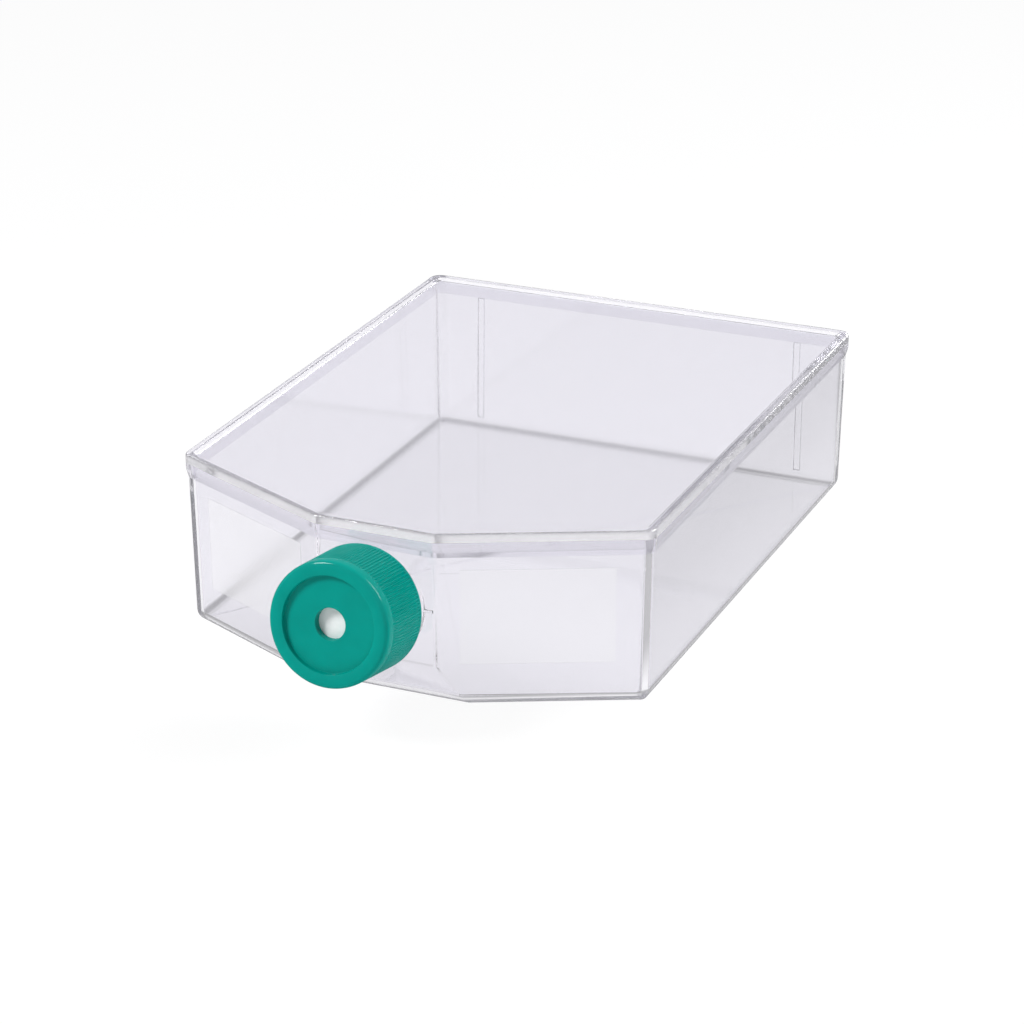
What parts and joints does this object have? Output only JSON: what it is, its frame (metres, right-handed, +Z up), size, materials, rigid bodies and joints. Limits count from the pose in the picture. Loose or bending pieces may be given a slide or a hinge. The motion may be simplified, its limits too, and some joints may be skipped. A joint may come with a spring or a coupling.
{
  "type": "cell culture flask",
  "caption": "Flat clear cell culture flask with angled shoulders, a stacking rim, a canted screw neck and a ribbed vented cap.",
  "frame": {"origin": "on the plane the flask lies on, on the centre line, midway between the front and rear of the stacking rim", "axes": "+X across the flask, -Y towards the neck and cap, +Z up from the base to the stacking rim"},
  "size_m": [0.12, 0.1924, 0.0438],
  "materials": {
    "clear_body": "clear gloss polystyrene",
    "clear_plate": "clear gloss polystyrene",
    "cap": "satin polyethylene",
    "membrane": "matt porous film"
  },
  "bodies": {
    "flask": {"flask_body": "clear_body", "top_plate": "clear_plate"},
    "vent": {"vent_membrane": "membrane"},
    "cap": {"cap_shell": "cap"}
  },
  "joints": [
    {"name": "cap_lift", "type": "slide", "parent": "flask", "child": "vent", "axis": [0, -0.9863, 0.165], "range_m": [0, 0.006]},
    {"name": "cap_turn", "type": "hinge", "parent": "vent", "child": "cap", "pos_m": [0, -0.08175, 0.0245], "axis": [0, -0.9863, 0.165], "range_deg": [0, 540]}
  ],
  "couplings": [
    {"joint": "cap_lift", "follows": "cap_turn", "m_per_rad": 0.00063662}
  ]
}
